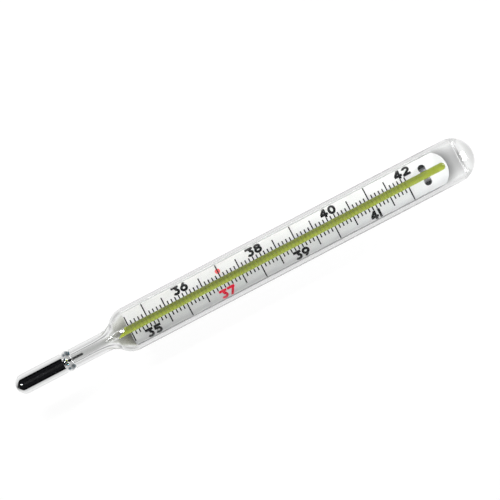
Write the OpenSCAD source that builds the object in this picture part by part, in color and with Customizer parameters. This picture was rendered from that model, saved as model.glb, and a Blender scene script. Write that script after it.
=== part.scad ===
// Clinical thermometer of the enclosed-scale kind: a thick glass bulb of mercury, a capillary tube on a
// white scale plate, and a round glass sheath blown over both.
// It lies along X with the bulb at -X, the dome at +X and the scale facing up (+Z), on the plane z = 0.
// Inside the modules s is the distance from the bulb's tip along the axis, and y and z are measured
// from the axis.

/* [Scale] */
// Length of one degree along the scale
degree_pitch = 10; // [8:0.5:12]
// Lowest graduation, degrees C
scale_low = 34.5; // [34:0.5:35]
// Highest graduation, degrees C
scale_high = 42; // [41:1:43]
// Normal body temperature, printed in red, degrees C
normal_degree = 37; // [36:1:38]
// Width of a graduation line
line_w = 0.31; // [0.15:0.01:0.4]
// Distance of a tenth-degree line's ends from the axis
tenth_reach = 1.86; // [1.5:0.02:2]
// Distance of a half-degree line's ends from the axis
half_reach = 3.25; // [2.4:0.05:3.8]
// Bare edge of the plate beyond a full-degree line
degree_margin = 0.05; // [0.05:0.05:0.6]
// Thickness of the fired ink
ink_t = 0.05; // [0.03:0.01:0.08]
// Gap between the ink and the plate's face
ink_clear = 0.02; // [0.02:0.01:0.04]
// Gap between a tenth-degree line's end and the numeral
numeral_gap = 0.05; // [0.05:0.01:0.2]
// Height of a numeral
numeral_h = 2.35; // [1.6:0.05:2.4]
// Width of a digit
digit_w = 1.95; // [1.4:0.05:2.1]
// Stroke of a digit
digit_stroke = 0.62; // [0.3:0.02:0.66]
// Gap between two digits
digit_gap = 0.2; // [0.15:0.05:0.5]
// Diameter of the red spot on the normal line
spot_d = 1.3; // [0.8:0.1:1.6]
// Distance of the red spot from the axis
spot_y = 2.6; // [2.3:0.05:3.2]

/* [Scale plate] */
// Thickness of the plate
plate_t = 0.25; // [0.2:0.05:0.4]
// Radius to which the plate is bowed across its width
plate_bow_r = 20; // [15:1:60]
// Plate below the lowest line
plate_foot = 0.3; // [0.2:0.1:1]
// Plate above the highest line, to the crown of its round end
plate_head = 10.6; // [9.5:0.1:14]
// Rise of the plate's round end over its corners
plate_end_rise = 2.2; // [1.2:0.1:3]
// Clearance of the plate's corners in the barrel
plate_clear = 0.07; // [0.04:0.01:0.2]

/* [Sheath] */
// Outside diameter of the barrel
barrel_d = 10.9; // [10:0.1:13]
// Wall of the barrel
barrel_wall = 0.73; // [0.6:0.01:1]
// Glass at the crown of the dome
dome_wall = 3; // [1.5:0.1:4]
// Room between the plate's round end and the crown of the hollow
head_room = 3.7; // [3:0.1:6]
// Length of the shoulder from neck to barrel
shoulder_l = 7; // [6:0.1:9]
// How far the plate's foot reaches into the shoulder
plate_seat = 0.4; // [0.2:0.05:0.5]
// Outside diameter of the neck
neck_d = 4.86; // [4.4:0.02:5.2]
// Length of the neck
neck_l = 8.5; // [6:0.1:12]
// Clearance round the capillary in the neck and in the collar's socket
neck_clear = 0.03; // [0.02:0.01:0.1]

/* [Bulb and collar] */
// Outside diameter of the bulb
bulb_d = 4.9; // [4.4:0.02:5.4]
// Length of the bulb
bulb_l = 12.7; // [9:0.1:16]
// Diameter of the mercury chamber
chamber_d = 1.9; // [1.4:0.05:2.4]
// Glass at the bulb's nose
nose_wall = 0.7; // [0.5:0.05:1.2]
// Length of the fused collar
collar_l = 2.4; // [2.2:0.1:3.2]
// Diameter of the collar at its middle
collar_d = 5.16; // [5:0.02:5.6]
// Diameter of the collar at its two seams
collar_seam_d = 4.4; // [4.2:0.02:4.9]
// Length of the funnel from the chamber to the constriction
funnel_l = 0.8; // [0.5:0.05:1]
// Diameter of the constriction that holds a reading
constriction_d = 0.16; // [0.12:0.01:0.2]
// Length of the constriction
constriction_l = 0.4; // [0.2:0.05:0.5]
// Depth of the capillary's socket in the collar
socket_depth = 0.6; // [0.4:0.05:0.7]

/* [Capillary] */
// Outside diameter of the capillary
capillary_d = 1.85; // [1.7:0.05:2.2]
// Bore of the capillary
bore_d = 0.44; // [0.28:0.01:0.5]
// How far the capillary's round end stays short of the plate's end
capillary_set_back = 0.5; // [0.3:0.1:1.5]
// Bore above the highest line, below the expansion chamber
bore_over = 2; // [1:0.1:2.5]
// Diameter of the expansion chamber at the bore's top
expansion_d = 0.7; // [0.5:0.05:0.9]
// Length of the expansion chamber
expansion_l = 3.5; // [2:0.1:5]
// Gap of the capillary over the ink
seat_clear = 0.02; // [0.01:0.01:0.05]
// Depth of the coloured enamel stripe in the capillary's back
stripe_t = 0.18; // [0.1:0.01:0.25]
// Arc of the capillary's back that the stripe covers, degrees
stripe_arc = 60; // [30:5:100]
// Start of the stripe below the barrel
stripe_below = 3; // [1:0.1:5]
// Length of the slanted cut at the stripe's start
stripe_slant = 1.6; // [0.6:0.1:2.5]
// End of the stripe short of the capillary's end
stripe_set_back = 1.2; // [1:0.1:3]
// Gap round the stripe in its groove
stripe_clear = 0.01; // [0.01:0.01:0.03]

/* [Mercury] */
// Clearance of the mercury in the glass
mercury_clear = 0.02; // [0.01:0.01:0.04]
// Height of the column over the collar when it is shaken down
column_rest = 2.8; // [2.4:0.1:6]
// Length of the column's head
column_head_l = 2; // [1:0.1:2.2]

/* [Capillary clip] */
// Distance of the clip above the highest line
clip_above = 4.75; // [3.5:0.05:6]
// Width of the clip along the capillary
clip_w = 1.6; // [1:0.1:1.7]
// Thickness of the clip's metal
clip_t = 0.28; // [0.2:0.01:0.32]
// Clearance of the clip's legs at the capillary
clip_clear = 0.05; // [0.03:0.01:0.1]
// Angle above the capillary's middle at which the legs end
clip_grip = 24; // [15:1:35]
// Outward lean of a leg from the capillary to the plate
leg_flare = 0.47; // [0.3:0.01:0.6]
// Diameter of the plate's two holes for the legs
hole_d = 1.9; // [1.7:0.05:2.2]
// Gap between the clip's base and the plate's back
base_clear = 0.01; // [0.01:0.01:0.05]
// Base of the clip beyond the holes
base_margin = 0.05; // [0:0.05:0.3]

/* [Hidden] */
$fn = 96;
arc_steps = 20;

// Radii
barrel_r = barrel_d / 2;
hollow_r = barrel_r - barrel_wall;
neck_r = neck_d / 2;
bulb_r = bulb_d / 2;
chamber_r = chamber_d / 2;
collar_r = collar_d / 2;
collar_seam_r = collar_seam_d / 2;
constriction_r = constriction_d / 2;
capillary_r = capillary_d / 2;
bore_r = bore_d / 2;
expansion_r = expansion_d / 2;
socket_r = capillary_r + neck_clear;
thread_r = bore_r - mercury_clear;

// Places along the axis, from the bulb's tip
neck_at = bulb_l + collar_l;
shoulder_at = neck_at + neck_l;
barrel_at = shoulder_at + shoulder_l;
plate_at = barrel_at - plate_seat;
first_line_at = plate_at + plate_foot;
last_line_at = degree_at(scale_high);
plate_end = last_line_at + plate_head;
hollow_end = plate_end + head_room;
overall_l = hollow_end + dome_wall;
socket_at = neck_at - socket_depth;
constriction_at = bulb_l + funnel_l;
capillary_end = plate_end - capillary_set_back;
bore_end = last_line_at + bore_over;
expansion_end = bore_end + expansion_l;
stripe_at = barrel_at - stripe_below;
stripe_end = capillary_end - stripe_set_back;
column_top = neck_at + column_rest;
column_head_at = column_top - column_head_l;
clip_at = last_line_at + clip_above;

// The plate's bow: its crown lies under the capillary, and its width fills the barrel's hollow
crown_z = -(capillary_r + seat_clear + ink_t + ink_clear);
bow_z = crown_z - plate_bow_r;
back_r = plate_bow_r - plate_t;
ink_r = plate_bow_r + ink_clear;
corner_r = hollow_r - plate_clear;
corner_z = (bow_z * bow_z - back_r * back_r + corner_r * corner_r) / (2 * bow_z);
plate_half_angle = asin(sqrt(corner_r * corner_r - corner_z * corner_z) / back_r);
plate_half_w = plate_bow_r * sin(plate_half_angle);
plate_end_r = (plate_half_w * plate_half_w + plate_end_rise * plate_end_rise) / (2 * plate_end_rise);
degree_reach = plate_half_w - degree_margin;
numeral_y = tenth_reach + numeral_gap + numeral_h / 2;

// The clip's legs and holes
grip_r = capillary_r + clip_clear;
leg_y = grip_r + leg_flare;
hole_y = leg_y + clip_t;
base_half = hole_y + hole_d / 2 + base_margin;
base_z = back_z(base_half) - base_clear;

// Place of a temperature along the axis
function degree_at(t) = first_line_at + (t - scale_low) * degree_pitch;

// Height of the plate's face and of its back at a distance y from the axis
function face_z(y) = bow_z + sqrt(plate_bow_r * plate_bow_r - y * y);
function back_z(y) = bow_z + sqrt(back_r * back_r - y * y);

// Points of an elliptical arc
function arc(c, rx, ry, from, to) =
    [for (i = [0 : arc_steps]) let (a = from + (to - from) * i / arc_steps)
        c + [rx * cos(a), ry * sin(a)]];

// Points of an S-shaped profile of two equal arcs, from [r0, s0] to [r1, s1], along the axis at both ends
function s_curve(r0, s0, r1, s1) =
    let (run = (s1 - s0) / 2, rise = (r1 - r0) / 2,
         sweep = 2 * atan(rise / run), rho = run / sin(sweep))
    concat(
        [for (i = [0 : arc_steps]) let (a = sweep * i / arc_steps)
            [r0 + rho * (1 - cos(a)), s0 + rho * sin(a)]],
        [for (i = [arc_steps - 1 : -1 : 0]) let (a = sweep * i / arc_steps)
            [r1 - rho * (1 - cos(a)), s1 - rho * sin(a)]]);

function reversed(list) = [for (i = [len(list) - 1 : -1 : 0]) list[i]];

// Moves a piece from the axis, with s along X, to its place over the ground
module in_place() {
    translate([-overall_l / 2, 0, barrel_r]) children();
}

// Turns an outline of [radius, s] points about the axis
module turned(outline) {
    in_place() rotate([0, 90, 0]) rotate_extrude() polygon(outline);
}

// A band of the plate's bow from y0 to y1, between the radii r0 and r1, from s0 to s1
module bow_band(y0, y1, r0, r1, s0, s1) {
    a0 = asin(y0 / plate_bow_r);
    a1 = asin(y1 / plate_bow_r);
    translate([s1, 0, bow_z]) rotate([0, -90, 0]) rotate([0, 0, a0])
        rotate_extrude(angle = a1 - a0) translate([r0, 0]) square([r1 - r0, s1 - s0]);
}

// Glass: one drawn and blown tube, with neck, shoulder, barrel and the thick sealed dome
module sheath() {
    color([0.86, 0.9, 0.9, 0.35]) turned(concat(
        [[socket_r, neck_at], [neck_r, neck_at]],
        s_curve(neck_r, shoulder_at, barrel_r, barrel_at),
        arc([0, overall_l - barrel_r], barrel_r, barrel_r, 0, 90),
        arc([0, hollow_end - hollow_r], hollow_r, hollow_r, 90, 0),
        reversed(s_curve(socket_r, shoulder_at, hollow_r, barrel_at))));
}

// Glass: the thick reservoir with its round nose
module bulb() {
    color([0.82, 0.88, 0.88, 0.35]) turned(concat(
        [[chamber_r, bulb_l], [bulb_r, bulb_l]],
        arc([0, bulb_r], bulb_r, bulb_r, 0, -90),
        arc([0, nose_wall + chamber_r], chamber_r, chamber_r, -90, 0)));
}

// Glass: the bead fused where bulb, capillary and sheath meet, with the funnel and the constriction
module weld_collar() {
    bulge = collar_r - collar_seam_r;
    bulge_r = (collar_l * collar_l / 4 + bulge * bulge) / (2 * bulge);
    half_angle = asin(collar_l / 2 / bulge_r);
    color([0.8, 0.88, 0.9, 0.4]) turned(concat(
        arc([collar_r - bulge_r, bulb_l + collar_l / 2], bulge_r, bulge_r, -half_angle, half_angle),
        [[socket_r, neck_at], [socket_r, socket_at], [bore_r, socket_at],
         [bore_r, constriction_at + constriction_l + bore_r],
         [constriction_r, constriction_at + constriction_l],
         [constriction_r, constriction_at], [chamber_r, bulb_l]]));
}

// The stripe's own outline in the capillary's back, grown by a gap for its groove
module stripe_solid(gap, outer_r) {
    half_arc = stripe_arc / 2 + gap / capillary_r * 180 / PI;
    inner_r = capillary_r - stripe_t - gap;
    slant = atan(stripe_slant / capillary_d);
    in_place() difference() {
        translate([stripe_at - gap, 0, 0]) rotate([0, 90, 0]) rotate([0, 0, -half_arc])
            rotate_extrude(angle = 2 * half_arc) translate([inner_r, 0])
                square([outer_r - inner_r, stripe_end - stripe_at + 2 * gap]);
        translate([stripe_at - gap, 0, 0]) rotate([0, 0, -slant])
            translate([-stripe_slant - capillary_d, -capillary_d, -capillary_d])
                cube([stripe_slant + capillary_d, 2 * capillary_d, 2 * capillary_d]);
    }
}

// Glass: the measuring tube, its bore and expansion chamber, and the groove for the stripe
module capillary() {
    color([0.85, 0.92, 0.8, 0.4]) difference() {
        turned(concat(
            [[bore_r, socket_at], [capillary_r, socket_at]],
            arc([0, capillary_end - capillary_r], capillary_r, capillary_r, 0, 90),
            arc([0, expansion_end - expansion_r], expansion_r, expansion_r, 90, 0),
            [[expansion_r, bore_end + expansion_r], [bore_r, bore_end]]));
        stripe_solid(stripe_clear, capillary_d);
    }
}

// Yellow-green enamel along the capillary's back, which the round glass spreads over its whole width
module enamel_stripe() {
    color("yellowgreen") stripe_solid(0, capillary_r);
}

// Mercury in the bulb, up to the constriction
module mercury_reservoir() {
    r = chamber_r - mercury_clear;
    color([0.08, 0.08, 0.09]) turned(concat(
        [[0, constriction_at], [constriction_r - mercury_clear, constriction_at], [r, bulb_l]],
        arc([0, nose_wall + chamber_r], r, r, 0, -90)));
}

// Mercury from the constriction up to the column's head
module mercury_thread() {
    narrow_r = constriction_r - mercury_clear;
    narrow_end = constriction_at + constriction_l;
    color([0.12, 0.12, 0.13]) turned([
        [0, constriction_at], [narrow_r, constriction_at], [narrow_r, narrow_end],
        [thread_r, narrow_end + bore_r], [thread_r, column_head_at], [0, column_head_at]]);
}

// The top of the mercury column, with its round meniscus, which rises in the bore
module mercury_head() {
    color([0.16, 0.16, 0.17]) turned(concat(
        [[0, column_head_at], [thread_r, column_head_at]],
        arc([0, column_top - thread_r], thread_r, thread_r, 0, 90)));
}

// White enamelled plate, bowed across its width, with a round upper end and two holes for the clip
module scale_plate() {
    color([0.93, 0.93, 0.92]) in_place() difference() {
        intersection() {
            bow_band(-plate_half_w, plate_half_w, back_r, plate_bow_r, plate_at, plate_end);
            translate([0, 0, -barrel_r]) linear_extrude(barrel_r) union() {
                translate([plate_at, -barrel_r])
                    square([plate_end - plate_end_r - plate_at, barrel_d]);
                translate([plate_end - plate_end_r, 0]) circle(r = plate_end_r);
            }
        }
        for (side = [-1, 1])
            translate([clip_at, side * hole_y, -barrel_r]) cylinder(d = hole_d, h = barrel_r);
    }
}

// Spring clip: a base behind the plate, and two legs that lean in to the capillary through the holes
module capillary_clip() {
    foot_z = face_z(leg_y);
    tip = grip_r * [cos(clip_grip), sin(clip_grip)];
    wide = [clip_t, 0];
    half = [[base_half, base_z - clip_t], [base_half, base_z],
            [leg_y, base_z] + wide, [leg_y, foot_z] + wide, [grip_r, 0] + wide, tip + wide,
            tip, [grip_r, 0], [leg_y, foot_z], [leg_y, base_z]];
    color([0.45, 0.46, 0.47]) in_place() translate([clip_at - clip_w / 2, 0, 0])
        rotate([90, 0, 90]) linear_extrude(clip_w)
            polygon(concat(half, [for (p = reversed(half)) [-p[0], p[1]]]));
}

// One graduation line at a temperature, from y0 to y1 across the plate
module line_at(t, y0, y1) {
    s = degree_at(t);
    bow_band(y0, y1, ink_r, ink_r + ink_t, s - line_w / 2, s + line_w / 2);
}

// Tenths of a degree on the scale, counted from its lowest line
tenths = [for (i = [0 : round((scale_high - scale_low) * 10)]) round(scale_low * 10) + i];
degrees = [for (t = tenths) if (t % 10 == 0) t / 10];
half_degrees = [for (t = tenths) if (t % 10 == 5) t / 10];
other_tenths = [for (t = tenths) if (t % 5 != 0) t / 10];

// Odd degrees have their long line on the +Y side and their numeral on the other, and even ones the reverse
function long_side(t) = t % 2 == 1 ? 1 : -1;

// Full degrees: long to one edge of the plate, short on the numeral's side
module degree_lines() {
    color([0.1, 0.1, 0.1]) in_place() for (t = degrees)
        if (long_side(t) > 0) line_at(t, -tenth_reach, degree_reach);
        else line_at(t, -degree_reach, tenth_reach);
}

module half_degree_lines() {
    color([0.12, 0.12, 0.12]) in_place() for (t = half_degrees) line_at(t, -half_reach, half_reach);
}

module tenth_lines() {
    color([0.15, 0.15, 0.15]) in_place() for (t = other_tenths) line_at(t, -tenth_reach, tenth_reach);
}

// Digits are drawn as strokes about a centre line that runs from [0, 0] to [cell_w, cell_h]
cell_w = digit_w - digit_stroke;
cell_h = numeral_h - digit_stroke;

function heading(p, q) = atan2(q[1] - p[1], q[0] - p[0]);

// The point beside a path's i-th point, at half a stroke to the given side
function beside(path, i, side) =
    let (last = len(path) - 1,
         before = heading(path[max(i - 1, 0)], path[max(i, 1)]),
         after = heading(path[min(i, last - 1)], path[min(i + 1, last)]),
         turn = after - before - 360 * round((after - before) / 360),
         along = before + turn / 2)
    path[i] + side * digit_stroke / 2 / cos(turn / 2) * [-sin(along), cos(along)];

module stroke(path) {
    every = [0 : len(path) - 1];
    polygon(concat([for (i = every) beside(path, i, 1)], reversed([for (i = every) beside(path, i, -1)])));
}

module ring(c, rx, ry) {
    edge = digit_stroke / 2;
    difference() {
        polygon(arc(c, rx + edge, ry + edge, 0, 360 - 360 / (arc_steps + 1)));
        polygon(arc(c, rx - edge, ry - edge, 0, 360 - 360 / (arc_steps + 1)));
    }
}

// A straight stroke, run past both ends so that the cell can trim it flush
module bar(p, q) {
    d = (q - p) / norm(q - p) * digit_stroke / 2;
    stroke([p - d, q + d]);
}

// The slanted stroke runs from the crossbar's left end to the upright's top, and stops flush with both
module four() {
    edge = digit_stroke / 2;
    upright = 0.72 * cell_w;
    crossbar = 0.28 * cell_h;
    bar([upright, 0], [upright, cell_h]);
    bar([0, crossbar], [cell_w, crossbar]);
    intersection() {
        bar([-edge / 2, crossbar], [upright, cell_h + edge / 2]);
        translate([-edge, crossbar - edge]) square([upright + 2 * edge, cell_h]);
    }
}

module six() {
    bowl_r = 0.34 * cell_h;
    ring([cell_w / 2, bowl_r], cell_w / 2, bowl_r);
    bar([0.1 * cell_w, 0.5 * cell_h], [0.62 * cell_w, cell_h]);
}

module digit_strokes(n) {
    mid = cell_w / 2;
    bowl_r = 0.31 * cell_h;
    if (n == 0) ring([mid, cell_h / 2], mid, cell_h / 2);
    if (n == 1) bar([0, 0], [0, cell_h]);
    if (n == 2) {
        stroke(concat(arc([mid, cell_h - bowl_r], mid, bowl_r, 165, -30), [[0, 0]]));
        bar([0, 0], [cell_w, 0]);
    }
    if (n == 3) {
        bar([0, cell_h], [cell_w, cell_h]);
        stroke([[0.9 * cell_w, cell_h], [0.48 * cell_w, 2 * bowl_r]]);
        stroke(arc([mid, bowl_r], mid, bowl_r, 95, -150));
    }
    if (n == 4) four();
    if (n == 5) {
        bar([0.16 * cell_w, cell_h], [cell_w, cell_h]);
        stroke([[0.14 * cell_w, cell_h], [0.07 * cell_w, 0.5 * cell_h]]);
        stroke(arc([mid, bowl_r], mid, bowl_r, 135, -150));
    }
    if (n == 6) six();
    if (n == 7) {
        bar([0, cell_h], [cell_w, cell_h]);
        bar([0.95 * cell_w, cell_h], [0.3 * cell_w, 0]);
    }
    if (n == 8) {
        ring([mid, 0.28 * cell_h], mid, 0.28 * cell_h);
        ring([mid, 0.77 * cell_h], 0.84 * mid, 0.23 * cell_h);
    }
    if (n == 9) translate([cell_w, cell_h]) rotate(180) six();
}

function width_of(n) = n == 1 ? digit_stroke : digit_w;

// A digit trimmed to its cell, with its lower left corner at [0, 0]
module digit(n) {
    intersection() {
        translate([digit_stroke / 2, digit_stroke / 2]) digit_strokes(n);
        square([width_of(n), numeral_h]);
    }
}

// A temperature in two digits, flat on the plate beside its line
module numeral(t) {
    tens = floor(t / 10);
    units = t % 10;
    side = -long_side(t);
    tilt = asin(side * numeral_y / plate_bow_r);
    width = width_of(tens) + digit_gap + width_of(units);
    in_place() translate([degree_at(t), side * numeral_y, face_z(numeral_y)]) rotate([-tilt, 0, 0])
        translate([-width / 2, -numeral_h / 2, ink_clear]) linear_extrude(ink_t) {
            digit(tens);
            translate([width_of(tens) + digit_gap, 0]) digit(units);
        }
}

module numerals() {
    color([0.08, 0.08, 0.08]) for (t = degrees) if (t != normal_degree) numeral(t);
}

module normal_numeral() {
    color([0.85, 0.1, 0.14]) numeral(normal_degree);
}

// Red spot on the long line of the normal temperature, printed round the line
module normal_spot() {
    side = long_side(normal_degree);
    tilt = asin(side * spot_y / plate_bow_r);
    color([0.95, 0.3, 0.3]) in_place()
        translate([degree_at(normal_degree), side * spot_y, face_z(spot_y)]) rotate([-tilt, 0, 0])
            translate([0, 0, ink_clear]) linear_extrude(ink_t) difference() {
                circle(d = spot_d);
                translate([-line_w / 2, -spot_d]) square([line_w, 2 * spot_d]);
            }
}

sheath();
bulb();
weld_collar();
capillary();
enamel_stripe();
mercury_reservoir();
mercury_thread();
mercury_head();
scale_plate();
capillary_clip();
degree_lines();
half_degree_lines();
tenth_lines();
numerals();
normal_numeral();
normal_spot();
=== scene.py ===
"""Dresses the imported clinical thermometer: blown glass, mercury, enamel, ink and a white studio floor.

It is laid out as an add-on and run as a script. Lengths are in metres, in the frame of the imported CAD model:
the thermometer lies along X with its bulb at -X and its scale facing +Z.
"""

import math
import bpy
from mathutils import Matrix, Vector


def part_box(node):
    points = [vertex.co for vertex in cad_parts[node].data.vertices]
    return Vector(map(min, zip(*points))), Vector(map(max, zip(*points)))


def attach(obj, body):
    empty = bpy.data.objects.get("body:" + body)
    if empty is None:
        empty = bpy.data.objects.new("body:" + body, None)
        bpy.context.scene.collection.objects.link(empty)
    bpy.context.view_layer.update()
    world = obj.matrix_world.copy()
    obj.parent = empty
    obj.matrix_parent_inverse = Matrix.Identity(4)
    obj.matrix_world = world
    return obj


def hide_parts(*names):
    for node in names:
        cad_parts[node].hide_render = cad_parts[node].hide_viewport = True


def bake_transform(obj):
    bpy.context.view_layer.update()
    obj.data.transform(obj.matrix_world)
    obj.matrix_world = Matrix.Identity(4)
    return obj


bl_info = {
    "name": "Clinical Thermometer",
    "version": (1, 0, 0),
    "blender": (4, 5, 0),
    "location": "3D View > Sidebar > Thermometer",
    "description": "Builds the looks of an enclosed-scale clinical thermometer on its packed CAD parts",
    "category": "Object",
}

import bmesh
import bpy
from bpy.props import FloatProperty, FloatVectorProperty, IntProperty, PointerProperty
from bpy.types import Operator, Panel, PropertyGroup
from mathutils import Vector

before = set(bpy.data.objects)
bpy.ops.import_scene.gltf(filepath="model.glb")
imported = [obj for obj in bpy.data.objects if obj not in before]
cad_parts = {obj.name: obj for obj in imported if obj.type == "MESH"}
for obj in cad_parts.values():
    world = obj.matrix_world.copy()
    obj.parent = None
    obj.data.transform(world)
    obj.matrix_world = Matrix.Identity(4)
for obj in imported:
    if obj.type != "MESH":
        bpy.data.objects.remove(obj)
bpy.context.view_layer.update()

CAD = {name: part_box(name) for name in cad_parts}
TIP_X = CAD["bulb"][0].x
AXIS_Z = (CAD["sheath"][0].z + CAD["sheath"][1].z) / 2
CROWN_Z = CAD["scale_plate"][1].z - AXIS_Z
CLIP_X = (CAD["capillary_clip"][0].x + CAD["capillary_clip"][1].x) / 2

# Distances at which two points are one, and at which a point lies on the axis or on a cut.
SAME_POINT, TOUCHING = 1e-8, 1e-9
WHITE = (1.0, 1.0, 1.0, 1.0)
# What glass leaves of a lamp's light that passes it at a grazing angle.
RIM_TINT = (0.52, 0.52, 0.52, 1.0)
# The mercury's blunt nose: distance from the lower end of the CAD's pool, and radius, both in its radii.
NOSE = ((0.2, 0.0), (0.2, 0.1), (0.24, 0.2), (0.5, 0.46),
        (0.82, 0.78), (0.98, 0.92), (1.12, 0.985), (1.3, 1.0))
# Painted dark spots in the collar, standing in for dark refracted images: share of the way along it, distance
# from the axis, and radius.
PAINTED_DARK_SPOTS = ((0.33, 0.00068, 0.00045), (0.34, 0.0018, 0.0005), (0.86, 0.00165, 0.00065))


def span(node):
    """Distances of a CAD node's two ends from the bulb's tip."""
    low, high = CAD[node]
    return low.x - TIP_X, high.x - TIP_X


def length(name, description, default):
    """A size in metres that the sidebar shows as a distance."""
    return FloatProperty(name=name, description=description, default=default, min=0.0,
                         precision=5, subtype="DISTANCE", unit="LENGTH")


def metres(name, description, default):
    """A place, or a width and a height, in metres."""
    return FloatVectorProperty(name=name, description=description, default=default, size=len(default),
                               subtype="XYZ", unit="LENGTH")


def angle(name, description, degrees):
    """An angle that is given in degrees."""
    return FloatProperty(name=name, description=description, default=math.radians(degrees),
                         subtype="ANGLE", unit="ROTATION")


def watts(name, description, default):
    """A lamp's power."""
    return FloatProperty(name=name, description=description, default=default, unit="POWER")


def level(name, description, default):
    """A plain number, such as a brightness or a share."""
    return FloatProperty(name=name, description=description, default=default)


def colour(name, description, default):
    """A linear colour that the sidebar shows as a swatch."""
    return FloatVectorProperty(name=name, description=description, default=default, size=3,
                               min=0.0, max=1.0, subtype="COLOR")


class GlassSizes(PropertyGroup):
    """The glass pieces' sizes that the CAD boxes don't give."""

    sides: IntProperty(name="Sides", description="Faces round each turned piece", default=128, min=24)
    barrel_wall: length("Barrel wall", "Thickness of the barrel's glass", 0.00073)
    dome_wall: length("Dome wall", "Glass at the crown of the dome", 0.003)
    hollow_round: length("Hollow round", "Length over which the barrel's hollow closes at the dome", 0.0012)
    guard: length("Guard", "Distance from the dome to the ring that keeps the barrel straight", 0.0002)
    shoulder: length("Shoulder", "Length of the shoulder from neck to barrel", 0.007)
    neck_length: length("Neck length", "Length of the neck", 0.0085)
    neck_flare: length("Neck flare", "Length of the neck over which its bore opens", 0.0031)
    neck_radius: length("Neck radius", "Outside radius of the neck", 0.00243)
    neck_bore: length("Neck bore", "Radius of the hollow in the neck and the collar's socket", 0.000955)
    seam_radius: length("Seam radius", "Outside radius of the collar at its two seams", 0.0021)
    air_ring: length("Air ring", "Radius of the ring of air caught in the weld", 0.0005)
    ring_wide: length("Ring width", "Half the ring's width along the axis", 0.00034)
    ring_deep: length("Ring depth", "Half the ring's depth across the axis", 0.00026)
    socket_flare: length("Socket flare", "Radius to which the capillary's socket opens at the neck", 0.0014)
    socket_depth: length("Socket depth", "Depth of the capillary's socket in the collar", 0.0006)
    bore: length("Bore", "Radius of the capillary's bore", 0.00022)
    bore_end: length("Bore end", "End of the narrow bore, from the bulb's tip", 0.1075)
    expansion: length("Expansion chamber", "Radius of the expansion chamber", 0.00035)
    expansion_end: length("Expansion chamber end", "End of the expansion chamber", 0.111)
    stripe_depth: length("Stripe depth", "Depth of the enamel stripe in the capillary's back", 0.00018)
    stripe_arc: angle("Stripe arc", "Arc of the capillary's back that the stripe covers", 55)
    stripe_slant: length("Stripe slant", "Length of the slanted cut at the stripe's start", 0.0034)


class ScaleSizes(PropertyGroup):
    """The plate's and the clip's sizes that the CAD boxes don't give."""

    bow: length("Bow radius", "Radius to which the plate is bowed across its width", 0.02)
    plate: length("Plate thickness", "Thickness of the plate", 0.00025)
    plate_edge: length("Plate edge", "Round of the plate's ground edges", 0.00005)
    end_rise: length("End rise", "Rise of the plate's round end over its corners", 0.0022)
    hole: length("Hole radius", "Radius of the plate's two holes", 0.00095)
    hole_place: length("Hole place", "Distance of a hole from the axis", 0.001775)
    clip_metal: length("Clip metal", "Thickness of the clip's metal", 0.00028)
    clip_round: length("Clip round", "Round of the clip's stamped edges", 0.00004)
    grip: length("Grip", "Distance of a leg from the axis at the capillary's middle", 0.001025)
    flare: length("Leg flare", "Outward lean of a leg from the capillary to the plate", 0.00047)
    grip_angle: angle("Grip angle", "Angle over the capillary's middle at which a leg ends", 24)


class Finishes(PropertyGroup):
    """Colours of the pieces."""

    clear: colour("Clear glass", "Tint of the blown glass", (0.985, 0.99, 0.988))
    # Tint of the painted dark spots in the bead, which stand in for dark refracted images.
    painted_dark_spot: colour("Weld stain", "Tint of the stain in the weld", (0.002, 0.02, 0.035))
    capillary: colour("Capillary glass", "Tint of the drawn capillary", (0.985, 0.988, 0.98))
    green: colour("Green enamel", "The stripe behind the bore", (0.4, 0.48, 0.02))
    # Near-black: a painted reflection of dark surroundings, where real mercury is a bright mirror.
    mercury: colour("Mercury", "The dark mirror of the mercury", (0.012, 0.012, 0.014))
    white: colour("White enamel", "The scale plate", (0.86, 0.86, 0.86))
    black: colour("Black ink", "Lines and numerals", (0.003, 0.003, 0.004))
    red: colour("Red ink", "The numeral of normal body temperature", (1.0, 0.01, 0.04))
    spot: colour("Red spot", "The spot on the normal line", (0.85, 0.12, 0.12))
    steel: colour("Spring steel", "The clip", (0.22, 0.22, 0.23))
    floor: colour("Floor", "The studio floor", (0.9, 0.9, 0.9))


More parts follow.
